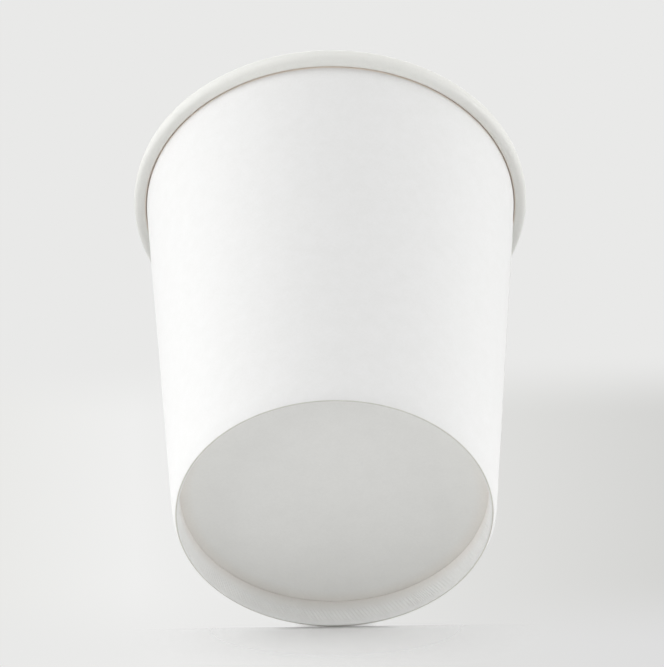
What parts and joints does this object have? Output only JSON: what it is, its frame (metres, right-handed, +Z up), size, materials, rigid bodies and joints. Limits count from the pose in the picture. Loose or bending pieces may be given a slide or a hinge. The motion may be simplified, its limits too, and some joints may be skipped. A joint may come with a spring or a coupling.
{
  "type": "paper soup container",
  "caption": "Round paperboard food container, open at the top: tapered seamed wall with a rolled rim, and a raised flat bottom held in a folded foot.",
  "frame": {"origin": "centre of the foot plane, on the container's axis", "axes": "+Z up the axis towards the mouth, +X towards the lap seam, which lies just on the +Y side of it"},
  "size_m": [0.117, 0.117, 0.1347],
  "materials": {
    "wall_board": "matte",
    "bottom_board": "matte"
  },
  "bodies": {
    "root": {"sidewall": "wall_board", "bottom": "bottom_board"}
  },
  "joints": []
}
